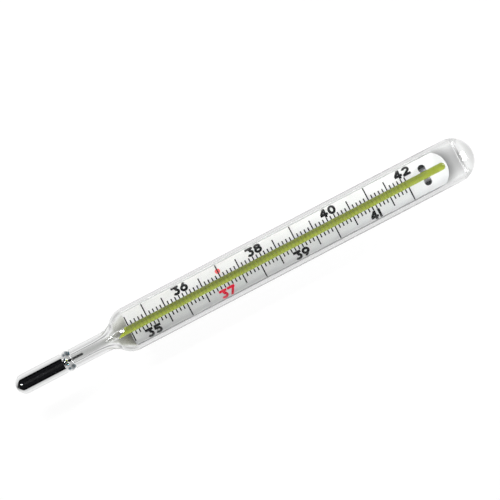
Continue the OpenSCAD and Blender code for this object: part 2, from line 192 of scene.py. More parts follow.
class StageSizes(PropertyGroup):
    """Camera, lights, surroundings and floor."""

    bounces: IntProperty(name="Bounces", description="How often light may turn in the glass",
                         default=48, min=8)
    view_width: length("View width", "Width of the picture at the thermometer's axis", 0.11953)
    view_distance: length("View distance", "Height of the camera over the axis", 1.2)
    view_turn: angle("View turn", "Turn of the picture about the vertical", -27.55)
    view_centre: metres("View centre", "Point of the axis plane at the picture's middle", (0.00331, 0.00345))
    key_power: watts("Key power", "Power of the low soft light on the scale's upper side", 3.8)
    key_place: metres("Key place", "Place of the low soft light", (-0.1, 0.465, 0.285))
    key_size: metres("Key size", "Width and height of the low soft light", (0.3, 0.035))
    key_tone: colour("Key tone", "Colour of the low soft light", (1.0, 0.987, 0.945))
    fill_power: watts("Fill power", "Power of the wide light overhead", 2.1)
    fill_height: length("Fill height", "Height of the wide light overhead", 0.8)
    fill_size: length("Fill size", "Width of the wide light overhead", 0.9)
    fill_tone: colour("Fill tone", "Colour of the wide light and the one near the dome", (0.97, 0.98, 1.0))
    end_power: watts("End power", "Power of the small light near the dome", 0.022)
    end_place: metres("End place", "Place of the small light near the dome", (0.075, -0.02, 0.045))
    end_size: length("End size", "Width of the small light near the dome", 0.03)
    glint_power: level("Glint power", "Power per square metre of the lights off the ends", 110.0)
    bulb_glint: metres("Bulb glint", "Place of the light off the bulb", (-0.48, 0.07, 0.41))
    bulb_glint_size: metres("Bulb glint size", "Width and height of the light off the bulb", (0.12, 0.3))
    dome_glint: metres("Dome glint", "Place of the light off the dome", (0.6, -0.04, 0.24))
    dome_glint_size: metres("Dome glint size", "Width and height of the light off the dome", (0.45, 0.3))
    sky_low: level("Sky low", "Brightness of the surroundings at the horizon", 0.12)
    sky_high: level("Sky high", "Brightness of the surroundings overhead", 0.03)
    sky_top: level("Sky top", "Added brightness of the surroundings straight overhead", 0.3)
    through_low: level("Through glass low", "Brightness of the horizon through glass", 0.85)
    through_high: level("Through glass high", "Brightness of the sky overhead through glass", 0.6)
    floor: length("Floor", "Half the width of the floor", 1.5)
    floor_glow: level("Floor glow", "Share of the floor's look that takes no shadow", 0.9)
    # The settings below shape the painted shade that the glass shows on the glowing floor.
    floor_near: length("Near floor", "Distance from the axis to which the glass shows a white floor", 0.005)
    floor_far: length("Far floor", "Distance from the axis from which the glass shows a grey floor", 0.018)
    floor_dusk: level("Floor dusk", "Brightness of the far floor as the glass shows it", 0.15)
    barrel_dusk: level("Barrel dusk", "Brightness of the far floor beside the barrel", 0.78)
    end_dusk: level("End dusk", "Brightness of the floor off the ends as the glass shows it", 0.72)
    plate_shade: level("Plate shade", "Brightness of the floor under the plate's edge", 0.2)
    shade_reach: length("Shade reach", "Distance from the plate at which its soft shade ends", 0.005)
    shade_lift: level("Shade lift", "Light on the lit side of the plate's shade", 0.4)
    # The olive tint is a painted reflection of the green enamel.
    olive: colour("Shade tint", "Tint of the shade at the neck, from the green enamel", (0.72, 0.72, 0.48))
    neck_shade: level("Neck shade", "Brightness of the floor under the neck's middle", 0.42)
    neck_reach: length("Neck reach", "Distance from the axis at which the neck's soft shade ends", 0.003)


GROUPS = {"glass": GlassSizes, "scale": ScaleSizes, "finish": Finishes, "stage": StageSizes}


def setting(group):
    """The scene's own settings of one group."""
    return getattr(bpy.context.scene, "thermometer_" + group)


def arc(centre, radii, first, last, steps=24):
    """Points of an elliptical arc, with angles in degrees from the axis' own direction."""
    angles = [math.radians(first + (last - first) * i / steps) for i in range(steps + 1)]
    return [(centre[0] + radii[0] * math.cos(a), centre[1] + radii[1] * math.sin(a)) for a in angles]


def shoulder_curve(start, end, steps=20):
    """Points of an S of two equal arcs, level at both ends."""
    (s0, r0), (s1, r1) = start, end
    run, rise = (s1 - s0) / 2, (r1 - r0) / 2
    sweep = 2 * math.atan(rise / run)
    rho = run / math.sin(sweep)
    angles = [sweep * i / steps for i in range(steps + 1)]
    lower = [(s0 + rho * math.sin(a), r0 + rho * (1 - math.cos(a))) for a in angles]
    upper = [(s1 - rho * math.sin(a), r1 - rho * (1 - math.cos(a))) for a in reversed(angles[:-1])]
    return lower + upper


def mesh_from(bm, name, crease=38):
    """A smooth-shaded mesh, sharp where two faces meet at more than the crease angle, in degrees."""
    bmesh.ops.remove_doubles(bm, verts=bm.verts, dist=SAME_POINT)
    for face in bm.faces:
        face.smooth = True
    for edge in bm.edges:
        edge.smooth = edge.calc_face_angle(0) < math.radians(crease)
    mesh = bpy.data.meshes.new(name)
    bm.to_mesh(mesh)
    bm.free()
    return mesh


def add_piece(name, bm, materials, replaced, body="glass"):
    """Finishes a shape as a piece that rides on a body and stands for CAD nodes."""
    piece = bpy.data.objects.new(name, mesh_from(bm, name))
    bpy.context.scene.collection.objects.link(piece)
    for material in materials:
        piece.data.materials.append(material)
    if body:
        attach(piece, body)
    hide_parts(*replaced)
    return piece


def turned(outlines, sides, finishes=(0, 0)):
    """A shape turned about the axis from outlines of (distance from the bulb's tip, radius).

    An outline runs with the air on its left, and its faces take the material of its number in finishes.
    """
    bm = bmesh.new()
    for outline, finish in zip(outlines, finishes):
        rings = []
        for s, r in outline:
            turns = [0.0] if r < TOUCHING else [2 * math.pi * j / sides for j in range(sides)]
            ring = [(TIP_X + s, r * math.cos(a), AXIS_Z + r * math.sin(a)) for a in turns]
            rings.append([bm.verts.new(point) for point in ring])
        for low, high in zip(rings, rings[1:]):
            for j in range(sides):
                k = (j + 1) % sides
                corners = [low[j % len(low)], low[k % len(low)], high[k % len(high)], high[j % len(high)]]
                bm.faces.new(list(dict.fromkeys(corners))).material_index = finish
    return bm


class Nodes:
    """Adds nodes to one tree, laid out in a few rows."""

    wide, tall, rows = 190, 120, 3

    def __init__(self, tree):
        self.tree = tree
        self.column = 0

    def add(self, kind, inputs=None, **settings):
        """A node with its settings and its inputs, of which those that are sockets are linked."""
        made = self.tree.nodes.new(kind)
        made.location = (self.column * self.wide, -self.tall * (self.column % self.rows))
        self.column += 1
        for name, value in settings.items():
            setattr(made, name, value)
        for name, value in (inputs or {}).items():
            socket = made.inputs[name]
            if isinstance(value, bpy.types.NodeSocket):
                self.tree.links.new(value, socket)
            else:
                socket.default_value = value
        return made

    def maths(self, operation, *values):
        return self.add("ShaderNodeMath", dict(enumerate(values)), operation=operation).outputs[0]

    def remap(self, value, low, high, to_low, to_high):
        """A value's span from low to high taken to another span, and held at its ends."""
        return self.add("ShaderNodeMapRange", {"Value": value, "From Min": low, "From Max": high,
                                               "To Min": to_low, "To Max": to_high}).outputs["Result"]

    def pick(self, choice, if_0, if_1):
        return self.remap(choice, 0.0, 1.0, if_0, if_1)

    def mix(self, factor, a, b):
        """A mix of two colours, which are a Mix node's inputs 6 and 7 and its output 2."""
        return self.add("ShaderNodeMix", {0: factor, 6: a, 7: b}, data_type="RGBA").outputs[2]

    def either(self, factor, a, b):
        """A node that mixes the shaders of two others."""
        return self.add("ShaderNodeMixShader", {0: factor, 1: a.outputs[0], 2: b.outputs[0]})

    def place(self):
        return self.add("ShaderNodeTexCoord").outputs["Object"]

    def split(self, place):
        return self.add("ShaderNodeSeparateXYZ", {0: place}).outputs

    def noise(self, place, scale, detail, roughness=0.5):
        return self.add("ShaderNodeTexNoise", {"Vector": place, "Scale": scale, "Detail": detail,
                                               "Roughness": roughness}).outputs["Fac"]

    def relief(self, effect, strength, distance):
        """The normal that an effect's height gives."""
        return self.add("ShaderNodeBump", {"Height": effect.outputs["Height"], "Strength": strength,
                                           "Distance": distance}).outputs["Normal"]


def new_group(name, inputs, outputs):
    """An empty shader node group, its nodes and the sockets that its inputs come from.

    Each input's default says whether it is a number or a colour. Of the outputs, only Color is a colour.
    """
    group = bpy.data.node_groups.new(name, "ShaderNodeTree")
    for label, default in inputs.items():
        kind = "NodeSocketFloat" if isinstance(default, float) else "NodeSocketColor"
        group.interface.new_socket(name=label, in_out="INPUT", socket_type=kind).default_value = default
    for label in outputs:
        kind = "NodeSocketColor" if label == "Color" else "NodeSocketFloat"
        group.interface.new_socket(name=label, in_out="OUTPUT", socket_type=kind)
    nodes = Nodes(group)
    return group, nodes, nodes.add("NodeGroupInput").outputs


def drawn_glass():
    """Lengthwise draw lines, slow waves and faint smudges of hand-drawn glass."""
    found = bpy.data.node_groups.get("drawn_glass")
    if found:
        return found
    group, n, given = new_group(
        "drawn_glass", {"Line Scale": 900.0, "Wave Scale": 160.0, "Smudge Scale": 140.0},
        ("Height", "Smudge"))
    place = n.place()
    stretched = n.add("ShaderNodeMapping", {"Vector": place, "Scale": (0.06, 1.0, 1.0)}).outputs[0]
    lines = n.noise(stretched, given["Line Scale"], detail=2.0)
    waves = n.noise(place, given["Wave Scale"], detail=1.0)
    height = n.maths("MULTIPLY_ADD", lines, 0.35, waves)
    smudges = n.noise(place, given["Smudge Scale"], detail=5.0, roughness=0.7)
    smudge = n.remap(smudges, 0.55, 0.8, 0.0, 1.0)
    n.add("NodeGroupOutput", {"Height": height, "Smudge": smudge})
    return group


def fired_coat():
    """Mottling, pinholes and orange-peel of a fired enamel or ink."""
    found = bpy.data.node_groups.get("fired_coat")
    if found:
        return found
    group, n, given = new_group(
        "fired_coat",
        {"Color": (0.8, 0.8, 0.8, 1.0), "Tint": (0.7, 0.7, 0.7, 1.0), "Cloud Scale": 300.0,
         "Grain Scale": 6000.0, "Gloss": 0.3},
        ("Color", "Roughness", "Height"))
    place = n.place()
    cloud = n.noise(place, given["Cloud Scale"], detail=4.0)
    grain = n.noise(place, given["Grain Scale"], detail=2.0)
    speck = n.remap(grain, 0.35, 0.65, 0.0, 0.35)
    patch = n.remap(cloud, 0.4, 0.7, 0.0, 0.65)
    tinted = n.mix(n.maths("ADD", speck, patch), given["Color"], given["Tint"])
    rough = n.maths("MULTIPLY_ADD", cloud, 0.2, given["Gloss"])
    height = n.maths("MULTIPLY_ADD", grain, 0.4, cloud)
    n.add("NodeGroupOutput", {"Color": tinted, "Roughness": rough, "Height": height})
    return group


def tarnish():
    """Clouds of oxide on bright metal."""
    found = bpy.data.node_groups.get("tarnish")
    if found:
        return found
    group, n, given = new_group(
        "tarnish",
        {"Metal": (0.4, 0.4, 0.4, 1.0), "Oxide": (0.05, 0.05, 0.05, 1.0), "Scale": 900.0, "Gloss": 0.25},
        ("Color", "Roughness", "Height"))
    stretched = n.add("ShaderNodeMapping", {"Vector": n.place(), "Scale": (0.25, 1.0, 1.0)}).outputs[0]
    cloud = n.noise(stretched, given["Scale"], detail=5.0, roughness=0.6)
    share = n.remap(cloud, 0.42, 0.68, 0.0, 0.8)
    rough = n.maths("MULTIPLY_ADD", share, 0.25, given["Gloss"])
    n.add("NodeGroupOutput", {"Color": n.mix(share, given["Metal"], given["Oxide"]), "Roughness": rough,
                              "Height": cloud})
    return group


def new_material(name):
    """An empty node material and its nodes."""
    material = bpy.data.materials.new(name)
    material.use_nodes = True
    material.node_tree.nodes.clear()
    return material, Nodes(material.node_tree)


def rgba(value):
    """A colour with full alpha."""
    return (*value, 1.0)


def toned(base, share):
    """A colour made darker, or lighter by a share over 1."""
    return [min(1.0, share * c) for c in base]


def glass_material(name, tint, ior, wave, line_scale, rim):
    """Glass that bends what is seen through it, and lets lamps and soft light pass straight.

    Its lit shade deepens over the span of Facing that rim gives.
    """
    found = bpy.data.materials.get(name)
    if found:
        return found
    material, n = new_material(name)
    effect = n.add("ShaderNodeGroup", {"Line Scale": line_scale}, node_tree=drawn_glass())
    rough = n.remap(effect.outputs["Smudge"], 0.0, 1.0, 0.0, 0.02)
    body = n.add("ShaderNodeBsdfPrincipled", {
        "Base Color": rgba(tint), "Roughness": rough, "IOR": ior, "Transmission Weight": 1.0,
        "Normal": n.relief(effect, wave, distance=0.0001)})
    clear = n.add("ShaderNodeBsdfTransparent", {"Color": rgba(tint)})
    grazing = n.remap(n.add("ShaderNodeLayerWeight").outputs["Facing"], *rim, 0.0, 1.0)
    shade = n.add("ShaderNodeBsdfTransparent", {"Color": n.mix(grazing, rgba(tint), RIM_TINT)})
    path = n.add("ShaderNodeLightPath").outputs
    lamps = n.either(path["Is Shadow Ray"], body, shade)
    soft = n.either(path["Is Diffuse Ray"], lamps, clear)
    n.add("ShaderNodeOutputMaterial", {"Surface": soft.outputs[0]})
    return material


def effect_material(name, group, given, strength, distance, settings):
    """A material that takes its colour, roughness and relief from a node group."""
    found = bpy.data.materials.get(name)
    if found:
        return found
    material, n = new_material(name)
    effect = n.add("ShaderNodeGroup", given, node_tree=group)
    body = n.add("ShaderNodeBsdfPrincipled", {
        "Base Color": effect.outputs["Color"], "Roughness": effect.outputs["Roughness"],
        "Normal": n.relief(effect, strength, distance), **settings})
    n.add("ShaderNodeOutputMaterial", {"Surface": body.outputs[0]})
    return material


def coat_material(name, base, tint, gloss, cloud_scale, grain_scale, shine=0.5, ior=1.5):
    """A fired enamel or ink."""
    given = {"Color": rgba(base), "Tint": rgba(tint), "Cloud Scale": cloud_scale,
             "Grain Scale": grain_scale, "Gloss": gloss}
    return effect_material(name, fired_coat(), given, strength=0.5, distance=0.000004,
                           settings={"Specular IOR Level": shine, "IOR": ior})


def metal_material(name, metal, oxide, gloss, scale, limb=1.0):
    """Metal with oxide clouds, whose limb shines by the given share."""
    given = {"Metal": rgba(metal), "Oxide": rgba(oxide), "Scale": scale, "Gloss": gloss}
    return effect_material(name, tarnish(), given, strength=0.3, distance=0.00001,
                           settings={"Metallic": 1.0, "Specular Tint": (limb, limb, limb, 1.0)})


def base_colour(material):
    """The colour input of a material's own shader."""
    body = next(node for node in material.node_tree.nodes if node.type == "BSDF_PRINCIPLED")
    return body.inputs["Base Color"]


def clear_glass(name="blown_glass"):
    """The blown glass of sheath, bulb and collar."""
    return glass_material(name, setting("finish").clear, ior=1.5, wave=0.01, line_scale=900.0,
                          rim=(0.45, 0.9))


class THERMOMETER_OT_stage(Operator):
    """White floor, soft light and the camera"""

    bl_idname = "thermometer.stage"
    bl_label = "Stage"

    def execute(self, context):
        scene, stage = context.scene, setting("stage")
        scene.view_settings.view_transform = "Standard"
        for kind in ("max_bounces", "glossy_bounces", "transmission_bounces", "transparent_max_bounces"):
            setattr(scene.cycles, kind, stage.bounces)
        self.floor(scene, stage)
        self.sky(scene, stage)
        self.lights(scene, stage)
        self.camera(scene, stage)
        return {"FINISHED"}

    def floor(self, scene, stage):
        """A pale sheet, nearly shadowless to the camera and glowing with painted shade through the glass."""
        bm = bmesh.new()
        bmesh.ops.create_grid(bm, x_segments=1, y_segments=1, size=stage.floor)
        floor = bpy.data.objects.new("studio_floor", mesh_from(bm, "studio_floor"))
        scene.collection.objects.link(floor)
        material, n = new_material("studio_floor")
        floor.data.materials.append(material)
        place = n.place()
        spot = n.split(place)
        # Seen through glass the floor glows with painted shade and a painted olive reflection of the enamel.
        dusk = self.dusk(n, spot, stage)
        shade, olive = self.shade(n, spot, stage)
        through = n.add("ShaderNodeEmission", {"Color": n.mix(olive, WHITE, rgba(stage.olive)),
                                               "Strength": n.maths("MULTIPLY", dusk, shade)})
        base = setting("finish").floor
        grain = n.noise(place, scale=900.0, detail=4.0)
        paper = n.mix(grain, rgba(base), rgba(toned(base, 0.97)))
        body = n.add("ShaderNodeBsdfPrincipled", {"Base Color": paper, "Roughness": 0.9,
                                                  "Specular IOR Level": 0.0})
        glow = n.add("ShaderNodeEmission", {"Color": WHITE, "Strength": 1.05})
        direct = n.either(stage.floor_glow, body, glow)
        seen = n.either(n.add("ShaderNodeLightPath").outputs["Is Camera Ray"], through, direct)
        n.add("ShaderNodeOutputMaterial", {"Surface": seen.outputs[0]})

    def dusk(self, n, spot, stage):
        """Painted shade on the floor as the glass shows it: a grey band beside the axis, and darker ends."""
        plate, dome = CAD["scale_plate"][0].x, CAD["sheath"][1].x
        away = n.maths("ABSOLUTE", spot["Y"])
        by_barrel = (spot["X"], plate - stage.shade_reach, plate)
        near = n.remap(*by_barrel, stage.neck_reach, stage.floor_near)
        far = n.remap(*by_barrel, stage.floor_far, 2 * stage.floor_near)
        dark = n.remap(*by_barrel, stage.floor_dusk, stage.barrel_dusk)
        pale_from, pale_at = 1.2 * stage.floor_far, 2 * stage.floor_far
        sides = n.maths("MAXIMUM", n.remap(away, near, far, 1.0, dark),
                        n.remap(away, pale_from, pale_at, dark, 1.0))
        dim_from, dim_at = dome - 0.002, dome + 0.01
        ends = n.remap(n.maths("ABSOLUTE", spot["X"]), dim_from, dim_at, 1.0, stage.end_dusk)
        return n.maths("MULTIPLY", sides, ends)

    def shade(self, n, spot, stage):
        """Painted shade on the floor, as cast by the plate and the neck, and how far it is tinted olive."""
        low, high = CAD["scale_plate"]
        x, y, across = spot["X"], spot["Y"], n.maths("ABSOLUTE", spot["Y"])
        round_end = n.maths("MULTIPLY", n.maths("MULTIPLY", across, across),
                            setting("scale").end_rise / high.y ** 2)
        beyond = n.maths("MAXIMUM", n.maths("SUBTRACT", n.maths("ADD", x, round_end), high.x),
                         n.maths("SUBTRACT", low.x, x))
        past = n.maths("MAXIMUM", beyond, 0.0)
        # At the shoulder, from just inside the plate's lower end, the shade narrows along two lines, each
        # given by slope and start. There it also reaches further and has a softer edge.
        lap, margin, lines = 0.0002, 0.0021, ((0.75, 0.0018), (0.36, 0.00265))
        at_shoulder = n.maths("LESS_THAN", x, low.x + lap)
        narrowing = n.maths("MINIMUM", *[n.maths("MULTIPLY_ADD", past, *line) for line in lines])
        edge = n.maths("SUBTRACT", high.y + margin, n.pick(at_shoulder, 0.0, narrowing))
        steepness = n.pick(at_shoulder, 12.0, 4.0)
        reach = n.pick(at_shoulder, stage.shade_reach, 1.6 * stage.shade_reach)
        beside = n.maths("MAXIMUM", n.maths("MULTIPLY", n.maths("SUBTRACT", across, edge), steepness), 0.0)
        away = n.maths("SQRT", n.maths("MULTIPLY_ADD", past, past, n.maths("MULTIPLY", beside, beside)))
        # The painted shade is lifted from a line just off the axis towards the key light, but not near the
        # dome.
        dark_y, lit_y, shoulder_lit_y, shoulder_lift = -0.001, 0.003, 0.005, (-0.12, 0.6)
        lift_to, lift_end = high.x - 0.008, high.x - 0.003
        by_plate = n.maths("MULTIPLY", n.remap(y, dark_y, lit_y, 0.0, stage.shade_lift),
                           n.remap(x, lift_to, lift_end, 1.0, 0.0))
        by_shoulder = n.remap(y, dark_y, shoulder_lit_y, *shoulder_lift)
        darkest = n.maths("ADD", n.pick(at_shoulder, by_plate, by_shoulder), stage.plate_shade)
        plate = n.remap(away, 0.0, reach, darkest, 1.0)
        strip = n.remap(across, 0.0, stage.neck_reach, stage.neck_shade, 1.0)
        neck = n.maths("MAXIMUM", strip, n.remap(x, low.x - stage.shade_reach, low.x, 0.0, 1.0))
        # The olive tint is a painted reflection of the green enamel, deepest where the painted shade is
        # darkest.
        tinted = n.maths("MULTIPLY", at_shoulder, n.maths("SUBTRACT", 1.0, plate))
        return n.maths("MULTIPLY", plate, neck), tinted

    def sky(self, scene, stage):
        """Surroundings that are white to the camera, pale through glass, and dark in what is reflected."""
        world = bpy.data.worlds.new("studio_sky")
        world.use_nodes = True
        world.node_tree.nodes.clear()
        n = Nodes(world.node_tree)
        # Heights of a direction, 0 for level and 1 for straight up, between which the brightness changes.
        low, top, beyond = (0.05, 0.5), (0.95, 0.99), (0.1, 0.5)
        rise = n.split(n.add("ShaderNodeTexCoord").outputs["Generated"])["Z"]
        reflected = n.maths("ADD", n.remap(rise, *low, stage.sky_low, stage.sky_high),
                            n.remap(rise, *top, 0.0, stage.sky_top))
        bent = n.remap(rise, *beyond, stage.through_low, stage.through_high)
        room, pale, white = [n.add("ShaderNodeBackground", {"Color": WHITE, "Strength": strength})
                             for strength in (reflected, bent, 1.0)]
        path = n.add("ShaderNodeLightPath").outputs
        through = n.either(path["Is Transmission Ray"], room, pale)
        seen = n.either(path["Is Camera Ray"], through, white)
        n.add("ShaderNodeOutputWorld", {"Surface": seen.outputs[0]})
        scene.world = world

    def lamp(self, scene, name, place, size, power, tone=(1.0, 1.0, 1.0), glint=False):
        """A light aimed at the axis' middle, shown by what scatters light or only by glass and metal."""
        lamp = bpy.data.lights.new(name, "AREA")
        lamp.shape = "RECTANGLE"
        lamp.size, lamp.size_y = size
        lamp.energy, lamp.color = power, tone
        light = bpy.data.objects.new(name, lamp)
        light.location = place
        aim = Vector((0.0, 0.0, AXIS_Z)) - light.location
        light.rotation_euler = aim.to_track_quat("-Z", "Y").to_euler()
        light.visible_glossy = light.visible_transmission = glint
        light.visible_diffuse = not glint
        scene.collection.objects.link(light)

    def lights(self, scene, stage):
        """Soft lights beside the scale, overhead and near the dome, and two that only glint."""
        self.lamp(scene, "key_light", stage.key_place, stage.key_size, stage.key_power, stage.key_tone)
        self.lamp(scene, "fill_light", (0.0, 0.0, stage.fill_height), (stage.fill_size, stage.fill_size),
                  stage.fill_power, stage.fill_tone)
        self.lamp(scene, "end_light", stage.end_place, (stage.end_size, stage.end_size), stage.end_power,
                  stage.fill_tone)
        for name, place, size in (("bulb_glint", stage.bulb_glint, stage.bulb_glint_size),
                                  ("dome_glint", stage.dome_glint, stage.dome_glint_size)):
            self.lamp(scene, name, place, size, stage.glint_power * size[0] * size[1], glint=True)

    def camera(self, scene, stage):
        """Straight over the scale, through a long lens."""
        lens = bpy.data.cameras.new("camera")
        lens.lens = lens.sensor_width * stage.view_distance / stage.view_width
        camera = bpy.data.objects.new("camera", lens)
        camera.location = (*stage.view_centre, AXIS_Z + stage.view_distance)
        camera.rotation_euler = (0.0, 0.0, stage.view_turn)
        scene.collection.objects.link(camera)
        scene.camera = camera


class THERMOMETER_OT_sheath(Operator):
    """Neck, shoulder, barrel and thick dome, blown as one tube"""

    bl_idname = "thermometer.sheath"
    bl_label = "Sheath"

    def execute(self, context):
        g = setting("glass")
        start, end = span("sheath")
        barrel = CAD["sheath"][1].y
        hollow = barrel - g.barrel_wall
        neck_end = start + g.neck_length
        barrel_at = neck_end + g.shoulder
        hollow_end = end - g.dome_wall
        shoulder = shoulder_curve((neck_end, g.neck_radius), (barrel_at, barrel))
        outside = ([(start, g.neck_radius)] + shoulder + [(end - barrel - g.guard, barrel)]
                   + arc((end - barrel, 0.0), (barrel, barrel), 90, 0)[:-1] + [(end, 0.0)])
        opens, steps = neck_end - g.neck_flare, 8
        neck = [(opens + g.neck_flare * i / steps, g.neck_radius) for i in range(steps)]
        funnel = [(s, r - self.wall(g, (s - opens) / (barrel_at - opens))) for s, r in neck + shoulder]
        inside = ([(hollow_end, 0.0)]
                  + arc((hollow_end - g.hollow_round, 0.0), (g.hollow_round, hollow), 0, 90)[1:]
                  + funnel[::-1] + [(start, g.neck_bore)])
        add_piece("sheath_glass", turned([outside, inside], g.sides), [clear_glass()],
                  ["sheath"])
        return {"FINISHED"}

    def wall(self, g, share):
        """Thickness of the glass at a share of the way from the neck's thick wall to the barrel's."""
        thick = g.neck_radius - g.neck_bore
        return thick + (g.barrel_wall - thick) * share * share * (3 - 2 * share)


class THERMOMETER_OT_bulb(Operator):
    """The thick bulb and the bead that is fused to it"""

    bl_idname = "thermometer.bulb"
    bl_label = "Bulb and collar"

    def execute(self, context):
        g = setting("glass")
        self.bulb(g)
        self.collar(g)
        return {"FINISHED"}

    def bulb(self, g):
        """The outside alone, as the mercury fills the inside."""
        radius, end = CAD["bulb"][1].y, span("bulb")[1]
        outside = [(0.0, 0.0)] + arc((radius, 0.0), (radius, radius), 180, 90)[1:] + [(end, radius)]
        add_piece("bulb_glass", turned([outside], g.sides), [clear_glass()], ["bulb"])

    def collar(self, g):
        """The bead, with a ring of caught air and a flared socket for the capillary."""
        start, end = span("weld_collar")
        socket, steps = end - g.socket_depth, 24
        bulge = CAD["weld_collar"][1].y - g.seam_radius
        bead = [(start + (end - start) * t, g.seam_radius + bulge * math.sin(math.pi * t))
                for t in [i / steps for i in range(steps + 1)]]
        outside = [(start, CAD["bulb"][1].y)] + bead + [(end, g.neck_radius)]
        flare_end, ring_at = 0.9 * socket + 0.1 * end, start + 0.34 * (end - start)
        inside = [(end, g.neck_bore), (end, g.socket_flare), (flare_end, g.neck_bore), (socket, g.neck_bore)]
        ring = arc((ring_at, g.air_ring), (g.ring_wide, g.ring_deep), 0, 360, 32)
        add_piece("collar_glass", turned([outside, inside, ring], g.sides, (0, 0, 0)),
                  [self.painted_dark_spots(start, end)], ["weld_collar"])

    def painted_dark_spots(self, start, end):
        """Clear glass with painted dark blue-green spots near the bead's two seams, standing in for dark
        refracted images.
        """
        material = clear_glass("welded_glass")
        n = Nodes(material.node_tree)
        place = n.place()
        at = n.split(place)
        folded = n.add("ShaderNodeCombineXYZ", {"X": at["X"], "Y": n.maths("ABSOLUTE", at["Y"])}).outputs[0]
        painted_dark_spot = 0.0
        for share, y, radius in PAINTED_DARK_SPOTS:
            spot = (TIP_X + start + share * (end - start), y, 0.0)
            away = n.add("ShaderNodeVectorMath", {0: folded, 1: spot}, operation="DISTANCE").outputs["Value"]
            painted_dark_spot = n.maths("MAXIMUM", painted_dark_spot, n.remap(away, 0.6 * radius, radius, 1.0, 0.0))
        cloud = n.noise(place, scale=1300.0, detail=2.0)
        painted_dark_spot = n.maths("MULTIPLY", painted_dark_spot, n.remap(cloud, 0.3, 0.55, 0.6, 1.0))
        finish = setting("finish")
        material.node_tree.links.new(n.mix(painted_dark_spot, rgba(finish.clear), rgba(finish.painted_dark_spot)),
                                     base_colour(material))
        return material


class THERMOMETER_OT_capillary(Operator):
    """The measuring tube and the green enamel in its back"""

    bl_idname = "thermometer.capillary"
    bl_label = "Capillary"

    def execute(self, context):
        g = setting("glass")
        self.tube(g)
        self.stripe(g)
        return {"FINISHED"}

    def tube(self, g):
        """The tube with its bore, its expansion chamber and its round sealed end."""
        radius, (start, end) = CAD["capillary"][1].y, span("capillary")
        outside = [(start, radius)] + arc((end - radius, 0.0), (radius, radius), 90, 0)[:-1] + [(end, 0.0)]
        inside = ([(g.expansion_end, 0.0)]
                  + arc((g.expansion_end - g.expansion, 0.0), (g.expansion, g.expansion), 0, 90)[1:]
                  + [(g.bore_end + g.expansion, g.expansion), (g.bore_end, g.bore), (start, g.bore)])
        look = {"tint": setting("finish").capillary, "wave": 0.005, "line_scale": 2400.0, "rim": (0.08, 0.3)}
        materials = [glass_material("drawn_capillary_glass", ior=1.5, **look),
                     glass_material("drawn_capillary_bore", ior=1.03, **look)]
        add_piece("capillary_glass", turned([outside, inside], g.sides, (0, 1)), materials,
                  ["capillary"])

    def stripe(self, g):
        """A ribbon of enamel let into the tube's back, cut aslant at the start."""
        # It starts a little before the CAD's and lies a hair proud of the glass.
        lead, proud, across, half = 0.0006, 1.002, 16, g.stripe_arc / 2
        start, radius = span("enamel_stripe")[0] - lead, CAD["capillary"][1].y
        outer = radius * proud
        inner = outer - g.stripe_depth
        round_at = span("capillary")[1] - radius
        over_end = [(round_at, math.radians(degrees)) for degrees in range(0, 61, 10)]
        bm = bmesh.new()
        rows = []

        def pair(s, turn, y, z):
            """The ribbon's inner and outer point at a station, turned inwards over the tube's round end."""
            return [bm.verts.new((TIP_X + s + r * math.sin(turn), r * y * math.cos(turn),
                                  AXIS_Z + r * z * math.cos(turn))) for r in (inner, outer)]

        for i in range(across + 1):
            a = -half + 2 * half * i / across
            stations = [(start + g.stripe_slant * i / across, 0.0)] + over_end
            rows.append([pair(s, turn, math.sin(a), -math.cos(a)) for s, turn in stations])
        for a, b in zip(rows, rows[1:]):
            for a0, a1, b0, b1 in zip(a, a[1:], b, b[1:]):
                bm.faces.new((a0[0], b0[0], b1[0], a1[0]))
                bm.faces.new((a0[1], a1[1], b1[1], b0[1]))
            for k in (0, -1):
                bm.faces.new((a[k][0], a[k][1], b[k][1], b[k][0]))
        for row in (rows[0], rows[-1]):
            for c0, c1 in zip(row, row[1:]):
                bm.faces.new((c0[0], c1[0], c1[1], c0[1]))
        bmesh.ops.recalc_face_normals(bm, faces=bm.faces)
        piece = add_piece("enamel_stripe_ribbon", bm, [self.enamel(setting("finish").green)],
                          ["enamel_stripe"])
        piece.visible_shadow = False

    def enamel(self, green):
        """Green enamel, through which the tenth-degree lines behind it show as darker bars."""
        pitch, bar_core, bar_edge, bar_weight, bar_tone = 0.001, 0.0001, 0.0003, 0.32, 0.35
        first, last = CAD["half_degree_lines"][0].x, CAD["degree_lines"][1].x
        material = coat_material("fired_green_enamel", green, toned(green, 0.8), gloss=0.3,
                                 cloud_scale=500.0, grain_scale=9000.0, ior=1.0)
        n, enamel = Nodes(material.node_tree), base_colour(material).links[0].from_socket
        x = n.split(n.place())["X"]
        from_line = n.maths("PINGPONG", n.maths("SUBTRACT", x, 0.5 * (first + last)), pitch / 2)
        bar = n.remap(from_line, bar_core, bar_edge, bar_weight, 0.0)
        on_scale = n.maths("MULTIPLY", n.maths("GREATER_THAN", x, first), n.maths("LESS_THAN", x, last))
        shown = n.mix(n.maths("MULTIPLY", bar, on_scale), enamel, rgba(toned(green, bar_tone)))
        material.node_tree.links.new(shown, base_colour(material))
        return material


